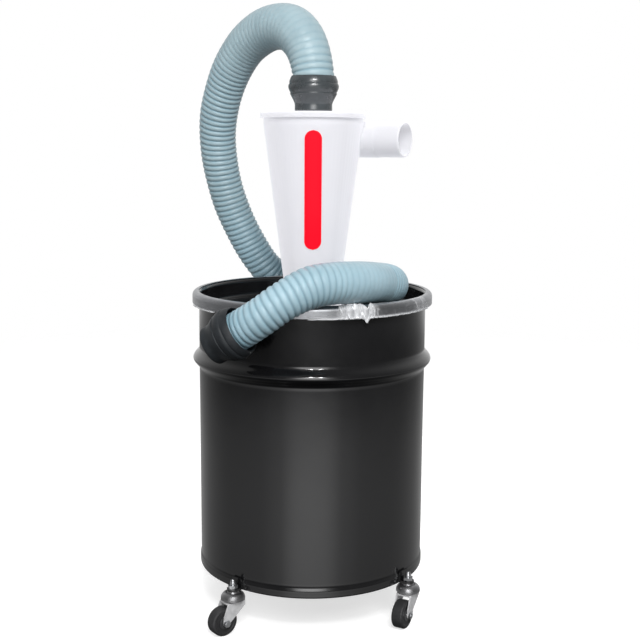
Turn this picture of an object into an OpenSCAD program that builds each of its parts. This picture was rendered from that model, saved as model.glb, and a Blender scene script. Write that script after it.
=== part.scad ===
// Workshop dust collector: an open-head steel drum on four swivel castors, a recessed lid held by a
// lever-lock band, a frosted plastic cyclone bolted to the lid, and one suction hose from its outlet.
// Origin: centre of the underside of the drum's base plate. +Z up, -Y is the front.

/* [Drum] */
// Outside radius of the drum wall
drum_r = 165; // [160:1:170]
// Height of the closed rim above the underside of the base plate
rim_z = 399; // [380:1:420]
// Thickness of the sheet steel
sheet = 1.2; // [1:0.1:1.4]
// How far the rolling hoop stands out of the wall
hoop_out = 9; // [6:0.5:10]
// Depth of the rolling hoop below the rim
hoop_drop = 98; // [90:1:110]
// How far the bottom chime hangs below the base plate
chime_drop = 8; // [6:0.5:9]

/* [Lid] */
// Depth of the lid's dished floor below the rim
lid_recess = 28; // [26:1:32]

/* [Cyclone] */
// Radius of the straight collar at the top of the cyclone
cyclone_r = 71.3; // [69:0.1:72]
// Height of the cyclone's cap above the rim
cyclone_h = 253.6; // [250:0.5:258]
// Outside radius at the foot of the cone
cone_foot_r = 37; // [36:0.5:39]
// Outside radius of the inlet stub
inlet_r = 25; // [24:0.5:26]
// Direction of the inlet stub, in degrees below the right-hand side
inlet_turn = 30; // [25:1:35]

/* [Hose] */
// Wall thickness of the hose
hose_wall = 1.6; // [1.2:0.1:2]
// Sides of the hose's round section
hose_sides = 18; // [16:2:20]
// Direction of the free cuff seen from above, in degrees
free_cuff_turn = 158; // [154:1:162]
// Dip of the free cuff below level, in degrees
free_cuff_dip = 30; // [26:1:34]

/* [Castors] */
// Distance of each castor stem from the drum's axis
castor_r = 176; // [175:0.5:178]
// Angle of the front left castor, seen from above
castor_turn = -128; // [-132:1:-124]
// Radius of the castor wheel
wheel_r = 20; // [18:0.5:20]
// Width of the castor wheel
wheel_w = 17; // [15:0.5:17]
// Height of the drum's base plate above the floor
ride_h = 67.5; // [67.5:0.5:70]
// Horizontal distance from the swivel axis to the wheel's axle
trail = 18; // [16:0.5:20]

/* [Hidden] */
$fn = 96;

// gaps: parts that touch on the real object, parts that turn on each other
seat_gap = 0.05;
run_gap = 0.05;
eps = 0.01;

// rim: a rolled curl on the drum, the lid's bead over it, and the band over the bead
bead_r = drum_r + 2.6;
bead_z = rim_z - 6.85;
bead_out = 5.4;
bead_in = 4.2;
band_in = 5.55;
band_out = 6.85;
curl_r = drum_r + 2.4;
curl_tube = 3.6;
curl_z = bead_z - 2.9;
skirt_foot_z = bead_z - 6.6;
band_foot_z = rim_z - 17;
band_start = 112;

hoop_z = rim_z - hoop_drop;
hoop_half = 15;

lid_z = rim_z - lid_recess;
dust_hole_r = cone_foot_r - 3;

band_gap_mid = 50;
band_gap = 7;

// cyclone
cap_z = rim_z + cyclone_h;
cap_t = 8;
cap_r = cyclone_r + 4.9;
collar_h = 9;
cyclone_wall = 3;
spout_r = 23.6;
spout_wall = 2.6;
spout_top = cap_z + 27;
finder_foot = cap_z - 105;
gasket_t = 2;
foot_z = lid_z + gasket_t + 2 * seat_gap;
foot_t = 5;
foot_r = 62;
foot_bolts = 6;
foot_bolt_ring = 53;
foot_bolt_r = 2.5;
inlet_z = rim_z + 216;
inlet_off = 47;
inlet_len = 123.5;
inlet_shoulder = 83;
inlet_wall = 2.6;
inlet_root = inlet_off * [sin(inlet_turn), cos(inlet_turn), 0] + [0, 0, inlet_z];

// cuffs: profile heights are measured from the cuff's narrow mouth
cuff_len = 48.8;
cuff_mouth_r = 26.7;
cuff_bore_r = spout_r + run_gap;
cuff_socket_r = 30.4;
cuff_socket_z = 25.5;
cuff_z = cap_z + 2.1;
free_cuff_face = [-91.5, -188.2, rim_z - 28.5];
free_cuff_dir = [
    cos(free_cuff_dip) * cos(free_cuff_turn), cos(free_cuff_dip) * sin(free_cuff_turn), -sin(free_cuff_dip)
];
hose_grip = 17;

// castors
axle_z = wheel_r - ride_h;
lug_z = -7;
lug_t = 3;
lug_r = 8.5;
lug_flange = 16;
lug_flange_t = 2;
stem_r = 4;
stem_top = 9;
nut_r = 7;
nut_h = 5;
head_r = 17;
head_z = -19;
head_dome = 8;
neck_r = 7.5;
race_r = head_r - 1.6;
crown_z = -23;
crown_t = 2.4;
crown_r = 17.5;
crown_front = -13;
crown_back = 15;
ball_r = 2;
ball_ring = 11;
balls = 10;
fork_t = 2;
fork_in = wheel_w / 2 + 1;
fork_tip_r = 4.6;
axle_r = 3;
axle_head_r = 4.2;
axle_head_h = 1.6;
axle_nut_r = 5.2;
axle_nut_h = 3;
hub_r = 9;
rivet_r = 8;
castor_trails = [-143, -120, 64, 158];

// ---------- helpers ----------

function arc(cx, cy, r, from, to, n) =
    [for (i = [0:n]) let (a = from + (to - from) * i / n) [cx + r * cos(a), cy + r * sin(a)]];

function unit(v) = v / norm(v);

module ring(r_out, r_in, h) {
    difference() {
        cylinder(r = r_out, h = h);
        translate([0, 0, -1]) cylinder(r = r_in, h = h + 2);
    }
}

// ---------- drum ----------

// radius added by the rolling hoop at a height dz above its middle
function hoop_at(dz) = hoop_out * (1 + cos(180 * dz / hoop_half)) / 2;

module drum_shell() {
    wall_top = curl_z;
    steps = 12;
    outside = concat(
        [[drum_r, 6]],
        [for (i = [0:steps]) let (dz = hoop_half * (2 * i / steps - 1)) [drum_r + hoop_at(dz), hoop_z + dz]],
        [[drum_r, wall_top]]
    );
    inside = [for (i = [len(outside) - 1:-1:0]) outside[i] - [sheet, 0]];
    chime = [
        [drum_r - 2.6, 6], [drum_r - 2.6, -chime_drop + 1], [drum_r - 1.6, -chime_drop],
        [drum_r + 0.6, -chime_drop], [drum_r + 1.4, -chime_drop + 1], [drum_r + 1.4, 3.5], [drum_r, 6]
    ];
    color([0.09, 0.09, 0.1]) {
        rotate_extrude() polygon(concat(outside, inside));
        rotate_extrude() polygon(chime);
        rotate_extrude() translate([curl_r, curl_z]) circle(r = curl_tube, $fn = 32);
    }
}

module drum_base() {
    color([0.1, 0.1, 0.11]) cylinder(r = drum_r - 2.6 - seat_gap, h = sheet);
}

// the film stands against the wall inside, and its spare edge shows outside the band at the front right
module liner_bag() {
    film = 0.5;
    bag_r = drum_r - sheet - 1.4;
    bag_foot = sheet + 1;
    bag_top = lid_z - sheet - 4;
    flap_r = bead_r + band_out + 0.5;
    flap_foot = band_foot_z - 6;
    flap_top = rim_z - 3;
    flap_start = -92;
    flap_sweep = 70;
    color([0.8, 0.82, 0.84]) {
        difference() {
            translate([0, 0, bag_foot]) cylinder(r = bag_r, h = bag_top - bag_foot);
            translate([0, 0, bag_foot + film]) cylinder(r = bag_r - film, h = bag_top);
        }
        rotate([0, 0, flap_start]) rotate_extrude(angle = flap_sweep)
            translate([flap_r, flap_foot]) square([film + 0.5, flap_top - flap_foot]);
    }
}

// ---------- lid and closing band ----------

module lid() {
    wall_r = bead_r - bead_in;
    floor_z = lid_z - sheet;
    outline = concat(
        [[dust_hole_r, lid_z], [dust_hole_r, floor_z]],
        arc(wall_r - 6, floor_z + 6, 6, -90, 0, 6),
        arc(bead_r, bead_z, bead_in, 180, 0, 16),
        [[bead_r + bead_in, skirt_foot_z], [bead_r + bead_out, skirt_foot_z]],
        arc(bead_r, bead_z, bead_out, 0, 180, 16),
        arc(wall_r - 6, floor_z + 6, 6 - sheet, 0, -90, 6)
    );
    color([0.12, 0.12, 0.13]) difference() {
        rotate_extrude() polygon(outline);
        foot_bolt_places() translate([0, 0, floor_z - 1]) cylinder(r = foot_bolt_r + 0.2, h = 10);
    }
}

module lid_gasket() {
    color([0.05, 0.05, 0.05]) rotate_extrude() intersection() {
        translate([bead_r, bead_z]) circle(r = bead_in - 0.2, $fn = 32);
        translate([bead_r - bead_in, curl_z + curl_tube + 0.1]) square([2 * bead_in, bead_in]);
    }
}

module closing_band() {
    tip = bead_r + bead_in + 0.5;
    outline = concat(
        arc(bead_r, bead_z, band_out, band_start, 0, 16),
        [[bead_r + band_out, band_foot_z], [tip, band_foot_z], [tip, band_foot_z + 1.3]],
        [[bead_r + band_in, band_foot_z + 1.3]],
        arc(bead_r, bead_z, band_in, 0, band_start, 16)
    );
    color([0.55, 0.56, 0.58])
        rotate([0, 0, band_gap_mid + band_gap / 2]) rotate_extrude(angle = 360 - band_gap) polygon(outline);
}

// lever-lock latch, drawn across the band's gap: +X points out from the drum, +Y along the rim
latch_r = bead_r + band_out;
latch_z = rim_z - 16;
latch_h = 12;
cheek_t = 1.8;
pin_r = 2;
lever_pin_at = [latch_r + 11, -21];
link_pin_at = [latch_r + 7, 5];
link_len = 23;
bar_r = 1.9;
barrel_r = 3.9;
plate_in = latch_r + 16.5;
plate_t = 1.8;
inner_z = latch_z + cheek_t + 0.2;
inner_h = latch_h - 2 * cheek_t - 0.4;

module at_latch() {
    rotate([0, 0, band_gap_mid]) children();
}

// a curved plate welded to the outside of the band
module latch_foot(from_a, to_a) {
    rotate([0, 0, from_a]) rotate_extrude(angle = to_a - from_a)
        translate([latch_r + seat_gap, latch_z]) square([1.6, latch_h]);
}

module pin_hole(at) {
    translate([at[0], at[1], latch_z - 1]) cylinder(r = pin_r + run_gap, h = latch_h + 2, $fn = 48);
}

module lever_bracket() {
    color([0.6, 0.61, 0.63]) at_latch() difference() {
        union() {
            latch_foot(-11, -4.2);
            translate([lever_pin_at[0], lever_pin_at[1], inner_z])
                cylinder(r = barrel_r, h = inner_h, $fn = 48);
            translate([latch_r - 0.4, lever_pin_at[1] - 3, inner_z]) cube([11.4, 6, inner_h]);
        }
        pin_hole(lever_pin_at);
        cylinder(r = latch_r + seat_gap, h = rim_z + 1);
    }
}

// a post that the link's bar drops behind
module catch_bracket() {
    post_y = link_pin_at[1] + link_len - bar_r - 3.4;
    color([0.6, 0.61, 0.63]) at_latch() difference() {
        union() {
            latch_foot(4.2, 12.5);
            translate([latch_r - 3, post_y, latch_z + 4.7]) cube([13, 3.2, latch_h - 9.4]);
        }
        cylinder(r = latch_r + seat_gap, h = rim_z + 1);
    }
}

// a folded strip: an outer plate along the rim, and two cheeks that hold the pins
module clamp_lever() {
    arm_start = -8;
    arm_end = 21;
    cheek_x = latch_r + 3.4;
    cheek_y = [lever_pin_at[1] - 4, link_pin_at[1] + 4];
    notch_end = -19.8;
    color([0.62, 0.63, 0.65]) at_latch() difference() {
        union() {
            rotate([0, 0, arm_start]) rotate_extrude(angle = arm_end - arm_start)
                translate([plate_in, latch_z]) square([plate_t, latch_h]);
            for (z = [latch_z, latch_z + latch_h - cheek_t])
                translate([cheek_x, cheek_y[0], z])
                    cube([plate_in + 1.1 - cheek_x, cheek_y[1] - cheek_y[0], cheek_t]);
        }
        // cut back where the bracket's barrel passes
        translate([plate_in - 5, notch_end - 15, latch_z + cheek_t])
            cube([10, 15, latch_h - 2 * cheek_t]);
        pin_hole(lever_pin_at);
        pin_hole(link_pin_at);
    }
}

module rivet_pin(at) {
    color([0.7, 0.71, 0.72]) at_latch() translate([at[0], at[1], 0]) {
        translate([0, 0, latch_z - 0.6]) cylinder(r = pin_r, h = latch_h + 1.2, $fn = 48);
        translate([0, 0, latch_z - 1.6]) cylinder(r = pin_r + 1.2, h = 1.5, $fn = 48);
        translate([0, 0, latch_z + latch_h + 0.1]) cylinder(r = pin_r + 1.2, h = 1.5, $fn = 48);
    }
}

module lever_pin() {
    rivet_pin(lever_pin_at);
}

module link_pin() {
    rivet_pin(link_pin_at);
}

// a loop: a barrel on the lever, two arms past the catch's post, and the bar behind it
module lever_link() {
    arm_h = 2;
    color([0.66, 0.67, 0.69]) at_latch() difference() {
        translate([link_pin_at[0], link_pin_at[1], inner_z]) union() {
            cylinder(r = 3.4, h = inner_h, $fn = 48);
            for (z = [0, inner_h - arm_h]) translate([-1.3, 0, z]) cube([2.6, link_len, arm_h]);
            translate([0, link_len, 0]) cylinder(r = bar_r, h = inner_h, $fn = 48);
        }
        pin_hole(link_pin_at);
    }
}

// ---------- cyclone ----------

module foot_bolt_places() {
    for (i = [0:foot_bolts - 1]) rotate([0, 0, 30 + 60 * i]) translate([foot_bolt_ring, 0, 0]) children();
}

function cone_r(z) =
    cone_foot_r + (cyclone_r - cone_foot_r) * (z - foot_z) / (cap_z - cap_t - collar_h - foot_z);

module inlet_place() {
    translate(inlet_root) rotate([0, 0, -inlet_turn]) rotate([0, 90, 0]) children();
}

// cone, collar, foot flange and the inlet stub that enters the cone along its wall
module cyclone_body() {
    cone_top = cap_z - cap_t - collar_h;
    collar_top = cap_z - 4.2;
    edge = 2.2;
    shell = [
        [0, foot_z], [foot_r, foot_z], [foot_r, foot_z + foot_t], [cone_r(foot_z + foot_t), foot_z + foot_t],
        [cyclone_r, cone_top], [cyclone_r, collar_top], [0, collar_top]
    ];
    hollow = [
        [0, foot_z - 1], [cone_foot_r - cyclone_wall, foot_z - 1], [cone_foot_r - cyclone_wall, foot_z],
        [cyclone_r - cyclone_wall, cone_top], [cyclone_r - cyclone_wall, collar_top + 1], [0, collar_top + 1]
    ];
    color([0.88, 0.88, 0.9, 0.75]) difference() {
        union() {
            rotate_extrude() polygon(shell);
            inlet_place() {
                cylinder(r = inlet_r + 0.6, h = inlet_shoulder);
                cylinder(r = inlet_r, h = inlet_len - edge);
                rotate_extrude() translate([inlet_r - edge, inlet_len - edge]) intersection() {
                    circle(r = edge, $fn = 32);
                    square(edge);
                }
                translate([0, 0, inlet_len - edge - eps]) cylinder(r = inlet_r - edge, h = edge + eps);
            }
            translate(inlet_root) sphere(r = inlet_r + 0.6);
        }
        rotate_extrude() polygon(hollow);
        inlet_place() translate([0, 0, -1]) cylinder(r = inlet_r - inlet_wall, h = inlet_len + 2);
        foot_bolt_places() translate([0, 0, foot_z - 1]) cylinder(r = foot_bolt_r + 0.2, h = foot_t + 2);
    }
}

// flat top with a rounded lip, the outlet spout, and the finder tube that hangs inside
module cyclone_cap() {
    groove_out = cyclone_r + 0.2;
    groove_in = cyclone_r - cyclone_wall - 0.2;
    bore = spout_r - spout_wall;
    round_r = 2;
    outline = concat(
        [[bore, finder_foot], [spout_r, finder_foot], [spout_r, cap_z - cap_t], [groove_in, cap_z - cap_t]],
        [[groove_in, cap_z - 4], [groove_out, cap_z - 4]],
        [[groove_out, cap_z - cap_t], [cap_r, cap_z - cap_t]],
        arc(cap_r - round_r, cap_z - round_r, round_r, 0, 90, 6),
        [[spout_r, cap_z], [spout_r, spout_top - 1], [spout_r - 1, spout_top], [bore, spout_top]]
    );
    color([0.92, 0.92, 0.94, 0.8]) rotate_extrude() polygon(outline);
}

module flange_gasket() {
    color([0.06, 0.06, 0.06]) difference() {
        translate([0, 0, lid_z + seat_gap]) ring(foot_r, dust_hole_r, gasket_t);
        foot_bolt_places() translate([0, 0, lid_z - 1]) cylinder(r = foot_bolt_r + 0.2, h = gasket_t + 2);
    }
}

module flange_bolts() {
    end_z = lid_z - 9;
    head_z = foot_z + foot_t + 1.1;
    color([0.7, 0.7, 0.72]) foot_bolt_places() {
        translate([0, 0, end_z]) cylinder(r = foot_bolt_r, h = head_z + 0.1 - end_z, $fn = 32);
        translate([0, 0, head_z]) cylinder(r = 4.6, h = 3.5, $fn = 6);
    }
}

module flange_washers() {
    color([0.72, 0.72, 0.74]) foot_bolt_places() {
        translate([0, 0, foot_z + foot_t + seat_gap]) ring(5, foot_bolt_r + 0.1, 1);
        translate([0, 0, lid_z - sheet - 1 - seat_gap]) ring(5, foot_bolt_r + 0.1, 1);
    }
}

module flange_nuts() {
    color([0.7, 0.7, 0.72]) foot_bolt_places()
        translate([0, 0, lid_z - sheet - 5.2 - seat_gap]) difference() {
            cylinder(r = 4.6, h = 4, $fn = 6);
            translate([0, 0, -1]) cylinder(r = foot_bolt_r + run_gap, h = 6, $fn = 32);
        }
}

// a plain red stripe with rounded ends, wrapped on the front of the cone
module label() {
    label_w = 24;
    label_foot = rim_z + 62;
    label_top = rim_z + 228;
    skin = 0.3;
    color([0.85, 0.04, 0.1]) intersection() {
        difference() {
            translate([0, 0, foot_z]) cylinder(
                r1 = cone_foot_r + seat_gap + skin, r2 = cyclone_r + seat_gap + skin,
                h = cap_z - cap_t - collar_h - foot_z
            );
            translate([0, 0, foot_z]) cylinder(
                r1 = cone_foot_r + seat_gap, r2 = cyclone_r + seat_gap, h = cap_z - cap_t - collar_h - foot_z
            );
        }
        union() {
            translate([-label_w / 2, -90, label_foot + label_w / 2])
                cube([label_w, 90, label_top - label_foot - label_w]);
            for (z = [label_foot + label_w / 2, label_top - label_w / 2])
                translate([0, 0, z]) rotate([90, 0, 0]) cylinder(r = label_w / 2, h = 90);
        }
    }
}

// ---------- hose and cuffs ----------

// where the hose passes: [right, back, height above the rim, outside radius]
hose_stops = [
    [0, 0, 286, 29],          // inside the upper cuff
    [-0.3, 0.3, 305, 29.2],
    [-6, 6, 334, 30.6],
    [-17, 18, 358, 32.4],
    [-34, 37, 374, 33.2],     // over the top, where the bend swells it
    [-57, 60, 377.5, 32.6],
    [-81, 84, 369.5, 31.8],
    [-107, 109, 348, 31],
    [-132, 135, 307, 30],
    [-149, 160, 250, 29],     // hanging at the back left
    [-150, 179, 191, 28.2],
    [-137, 194, 125, 27.6],
    [-112, 204, 64, 27],
    [-81, 212, 13, 26.8],     // a dip behind the drum
    [-56, 221, -8, 27],
    [-30, 222, -10, 27],
    [-14, 212, 1, 27],
    [-8, 190, 21, 27.4],
    [-4, 163, 32, 28],        // over the back of the rim
    [8, 130, 22, 28],
    [36, 94, 5, 28],          // lying in the lid, round the right of the cone
    [76, 56, 1.4, 28],
    [106, 4, 4.5, 27.6],
    [108, -48, 14, 27.6],
    [84, -104, 23, 28],
    [54, -146, 28, 28],       // over the front of the rim
    [26, -169, 29.5, 28],
    [-4, -187, 26, 27.6],
    [-38, -200, 9.5, 26.8],
    [-66, -199.5, -10.5, 26.6]
];

function lift(stop) = [stop[0], stop[1], rim_z + stop[2], stop[3]];

function hose_end(along) = let (p = free_cuff_face + along * free_cuff_dir) [p[0], p[1], p[2], 27.4];

hose_knots = concat([for (s = hose_stops) lift(s)], [hose_end(0), hose_end(hose_grip)]);

// smooth curve through four knots, t from 0 to 1 between the middle two
function spline(a, b, c, d, t) =
    0.5 * (2 * b + (c - a) * t + (2 * a - 5 * b + 4 * c - d) * t * t + (3 * b - a - 3 * c + d) * t * t * t);

function knot(i) =
    i < 0 ? 2 * hose_knots[0] - hose_knots[1]
    : i >= len(hose_knots) ? 2 * hose_knots[len(hose_knots) - 1] - hose_knots[len(hose_knots) - 2]
    : hose_knots[i];

hose_steps = 4;
hose_line = concat(
    [for (i = [0:len(hose_knots) - 2]) for (k = [0:hose_steps - 1])
        spline(knot(i - 1), knot(i), knot(i + 1), knot(i + 2), k / hose_steps)],
    [hose_knots[len(hose_knots) - 1]]
);

function xyz(p) = [p[0], p[1], p[2]];

function heading(i) =
    unit(xyz(hose_line[min(i + 1, len(hose_line) - 1)]) - xyz(hose_line[max(i - 1, 0)]));

// the section's side direction, carried along the hose so that it never twists
function carried(side, dir) = unit(side - (side * dir) * dir);

function sides(i, side, all) =
    i >= len(hose_line) ? all
    : let (s = carried(side, heading(i))) sides(i + 1, s, concat(all, [s]));

hose_side = sides(0, [1, 0, 0], []);

function hose_ring(i, less) =
    let (s = hose_side[i], u = cross(heading(i), s), r = hose_line[i][3] - less, c = xyz(hose_line[i]))
    [for (k = [0:hose_sides - 1]) c + r * (cos(360 * k / hose_sides) * s + sin(360 * k / hose_sides) * u)];

module hose() {
    n = len(hose_line);
    m = hose_sides;
    points = concat(
        [for (i = [0:n - 1]) each hose_ring(i, 0)],
        [for (i = [0:n - 1]) each hose_ring(i, hose_wall)]
    );
    inner = n * m;
    skin = [for (i = [0:n - 2]) for (k = [0:m - 1]) let (a = i * m + k, b = i * m + (k + 1) % m)
        each [[a, a + m, b + m], [a, b + m, b]]];
    bore = [for (f = skin) [f[0] + inner, f[2] + inner, f[1] + inner]];
    last = (n - 1) * m;
    start_lip = [for (k = [0:m - 1]) let (j = (k + 1) % m)
        each [[k, j, j + inner], [k, j + inner, k + inner]]];
    end_lip = [for (k = [0:m - 1]) let (a = last + k, b = last + (k + 1) % m)
        each [[a, b + inner, b], [a, a + inner, b + inner]]];
    color([0.63, 0.75, 0.8]) polyhedron(points, concat(skin, bore, start_lip, end_lip), convexity = 10);
}

// narrow mouth at z = 0, flared socket for the hose at the top
module cuff() {
    outline = [
        [cuff_bore_r, 0], [cuff_mouth_r - 0.8, 0], [cuff_mouth_r, 0.8], [cuff_mouth_r, 10],
        [27.4, 13], [29.2, 17], [31.5, 20.6], [32.6, 23.6], [32.1, 24.6], [33.2, 26.4],
        [35, 29.6], [35.9, 33], [35.8, 36], [34.8, 37.8], [34.9, 39.4], [34.4, 41.8],
        [33.3, 44.6], [32.2, 47.2], [31.4, cuff_len], [cuff_socket_r, cuff_len],
        [cuff_socket_r, cuff_socket_z + 3], [cuff_bore_r, cuff_socket_z]
    ];
    color([0.25, 0.28, 0.29]) rotate_extrude() polygon(outline);
}

module upper_cuff() {
    translate([0, 0, cuff_z]) cuff();
}

// the free cuff's socket faces back up the hose
module free_cuff() {
    translate(free_cuff_face + cuff_len * free_cuff_dir)
        rotate([0, 0, free_cuff_turn]) rotate([0, free_cuff_dip - 90, 0]) cuff();
}

// ---------- castors ----------

module at_castor(i) {
    rotate([0, 0, castor_turn + 90 * i]) translate([castor_r, 0, 0]) children();
}

module each_castor() {
    for (i = [0:3]) at_castor(i) children();
}

// the swivelling half of castor i: +X is the way the wheel trails
module at_fork(i) {
    at_castor(i) rotate([0, 0, castor_trails[i] - castor_turn - 90 * i]) children();
}

// angle brackets: one leg against the chime, the other under the stem's nut
module castor_lugs() {
    inner_r = drum_r + 1.4 + seat_gap;
    reach = castor_r - inner_r;
    color([0.1, 0.1, 0.11]) difference() {
        each_castor() difference() {
            union() {
                translate([-reach - 2, -lug_r, lug_z]) cube([reach + 2, 2 * lug_r, lug_t]);
                translate([-reach - 2, -lug_r, lug_z]) cube([2 + lug_flange_t, 2 * lug_r, lug_flange]);
                translate([0, 0, lug_z]) cylinder(r = lug_r, h = lug_t);
            }
            translate([0, 0, lug_z - 1]) cylinder(r = stem_r + 0.2, h = lug_t + 2);
        }
        translate([0, 0, lug_z - 1]) cylinder(r = inner_r, h = lug_flange + 2, $fn = 180);
    }
}

module castor_stems() {
    tip = 5;
    color([0.75, 0.76, 0.77]) each_castor() {
        translate([0, 0, crown_z - 1]) cylinder(r = stem_r, h = stem_top - tip + 1 - crown_z, $fn = 48);
        translate([0, 0, stem_top - tip]) cylinder(r1 = stem_r, r2 = stem_r - 1.4, h = tip, $fn = 48);
        translate([0, 0, crown_z - 2]) cylinder(r = rivet_r, h = 1.9, $fn = 48);
    }
}

module castor_nuts() {
    color([0.75, 0.76, 0.77]) each_castor() translate([0, 0, lug_z + lug_t + seat_gap]) difference() {
        cylinder(r = nut_r, h = nut_h, $fn = 6);
        translate([0, 0, -1]) cylinder(r = stem_r + run_gap, h = nut_h + 2, $fn = 48);
    }
}

// domed swivel head, clamped under the bracket, with the ball race beneath it
module castor_heads() {
    race_z = head_z + 2.6;
    outline = concat(
        [[stem_r + run_gap, lug_z - seat_gap], [stem_r + run_gap, race_z], [race_r, race_z]],
        [[race_r, head_z], [head_r, head_z], [head_r, head_z + 2]],
        arc(head_r - head_dome, head_z + 2, head_dome, 10, 80, 6),
        [[neck_r + 1, lug_z - 2.4], [neck_r, lug_z - seat_gap]]
    );
    color([0.8, 0.81, 0.82]) each_castor() rotate_extrude() polygon(outline);
}

module castor_balls() {
    color([0.8, 0.8, 0.8]) each_castor() for (k = [0:balls - 1])
        rotate([0, 0, 360 * k / balls]) translate([ball_ring, 0, crown_z + crown_t + ball_r + 0.05])
            sphere(r = ball_r, $fn = 24);
}

// folded sheet: a crown plate under the head, and a broad tapering leg on each side of the wheel
module fork(i) {
    leg = [
        [crown_front, crown_z + 1], [crown_back, crown_z + 1], [trail + 3.6, axle_z + 9],
        [trail + fork_tip_r - 0.2, axle_z + 1], [trail - 2.5, axle_z - 3.8], [crown_front, crown_z - 4]
    ];
    outer = fork_in + fork_t;
    color([0.82, 0.83, 0.84]) at_fork(i) difference() {
        union() {
            translate([0, 0, crown_z]) intersection() {
                translate([crown_front, -outer, 0]) cube([crown_back - crown_front, 2 * outer, crown_t]);
                cylinder(r = crown_r, h = crown_t);
            }
            for (y = [-outer, fork_in]) translate([0, y + fork_t, 0]) rotate([90, 0, 0]) {
                linear_extrude(fork_t) polygon(leg);
                translate([trail, axle_z, 0]) cylinder(r = fork_tip_r, h = fork_t);
            }
        }
        translate([0, 0, crown_z - 1]) cylinder(r = stem_r + run_gap, h = crown_t + 2, $fn = 48);
        translate([trail, 20, axle_z]) rotate([90, 0, 0]) cylinder(r = axle_r + run_gap, h = 40, $fn = 48);
    }
}

module wheel_place(i) {
    at_fork(i) translate([trail, 0, axle_z]) rotate([90, 0, 0]) children();
}

// bolt with its nut: one solid each
module axle(i) {
    side = fork_in + fork_t + seat_gap;
    nut_z = -side - axle_nut_h;
    color([0.8, 0.8, 0.82]) wheel_place(i) {
        translate([0, 0, nut_z - 0.5]) cylinder(r = axle_r, h = side - nut_z + 0.5, $fn = 48);
        translate([0, 0, side]) cylinder(r = axle_head_r, h = axle_head_h, $fn = 32);
        translate([0, 0, nut_z]) difference() {
            cylinder(r = axle_nut_r, h = axle_nut_h, $fn = 6);
            translate([0, 0, -1]) cylinder(r = axle_r + run_gap, h = axle_nut_h + 2, $fn = 48);
        }
    }
}

module hub(i) {
    color([0.14, 0.14, 0.15]) wheel_place(i)
        translate([0, 0, -wheel_w / 2]) ring(hub_r, axle_r + run_gap, wheel_w);
}

module tyre(i) {
    half = wheel_w / 2;
    corner = 3;
    outline = concat(
        [[hub_r + seat_gap, half - 1], [hub_r + seat_gap, 1 - half]],
        [[wheel_r - 6, 1 - half], [wheel_r - 5, -half]],
        arc(wheel_r - corner, corner - half, corner, -90, 0, 6),
        arc(wheel_r - corner, half - corner, corner, 0, 90, 6),
        [[wheel_r - 5, half], [wheel_r - 6, half - 1]]
    );
    color([0.1, 0.1, 0.1]) wheel_place(i) rotate_extrude() polygon(outline);
}

drum_shell();
drum_base();
liner_bag();
lid();
lid_gasket();
closing_band();
lever_bracket();
catch_bracket();
clamp_lever();
lever_pin();
lever_link();
link_pin();
cyclone_body();
cyclone_cap();
flange_gasket();
flange_bolts();
flange_washers();
flange_nuts();
label();
hose();
upper_cuff();
free_cuff();
castor_lugs();
castor_stems();
castor_nuts();
castor_heads();
castor_balls();
fork(0);  // fork_front_left
axle(0);  // axle_front_left
hub(0);  // hub_front_left
tyre(0);  // tyre_front_left
fork(1);  // fork_front_right
axle(1);  // axle_front_right
hub(1);  // hub_front_right
tyre(1);  // tyre_front_right
fork(2);  // fork_back_right
axle(2);  // axle_back_right
hub(2);  // hub_back_right
tyre(2);  // tyre_back_right
fork(3);  // fork_back_left
axle(3);  // axle_back_left
hub(3);  // hub_back_left
tyre(3);  // tyre_back_left
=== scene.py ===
"""Looks of the workshop dust collector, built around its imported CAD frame."""
import math

import bpy
import numpy as np
from mathutils import Matrix, Vector, noise


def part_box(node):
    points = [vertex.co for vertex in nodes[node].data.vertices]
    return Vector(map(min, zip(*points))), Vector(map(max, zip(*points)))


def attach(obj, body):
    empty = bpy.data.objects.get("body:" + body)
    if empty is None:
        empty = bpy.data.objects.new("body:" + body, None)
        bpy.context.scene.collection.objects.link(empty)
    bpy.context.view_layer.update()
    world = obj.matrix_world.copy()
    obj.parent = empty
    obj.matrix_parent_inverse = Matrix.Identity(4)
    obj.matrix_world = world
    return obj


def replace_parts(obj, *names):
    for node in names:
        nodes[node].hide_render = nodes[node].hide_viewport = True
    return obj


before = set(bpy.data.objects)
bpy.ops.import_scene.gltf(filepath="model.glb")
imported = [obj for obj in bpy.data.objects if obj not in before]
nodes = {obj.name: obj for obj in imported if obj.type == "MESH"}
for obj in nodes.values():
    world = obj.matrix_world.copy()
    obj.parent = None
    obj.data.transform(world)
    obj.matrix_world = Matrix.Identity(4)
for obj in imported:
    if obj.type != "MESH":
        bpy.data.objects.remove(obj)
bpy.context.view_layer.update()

MM = 0.001

# ---------- places read from the frame ----------

band_lo, band_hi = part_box("closing_band")
label_lo, label_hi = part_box("label")
cuff_lo, cuff_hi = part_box("upper_cuff")
cap_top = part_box("cyclone_cap")[1]
cone_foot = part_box("cyclone_body")[0]
chime_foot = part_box("drum_shell")[0].z
base_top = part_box("drum_base")[1]

rim_z = band_hi.z
band_r = band_hi.x
# the band's bead is a half round that closes over the rim
bead_tube = 6.85 * MM
bead_r, bead_z = band_r - bead_tube, rim_z - bead_tube
# the wall's outside stands this much outside the base plate
drum_r = base_top.x + 2.65 * MM
floor_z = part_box("tyre_front_left")[0].z

# ---------- mesh helpers ----------


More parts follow.
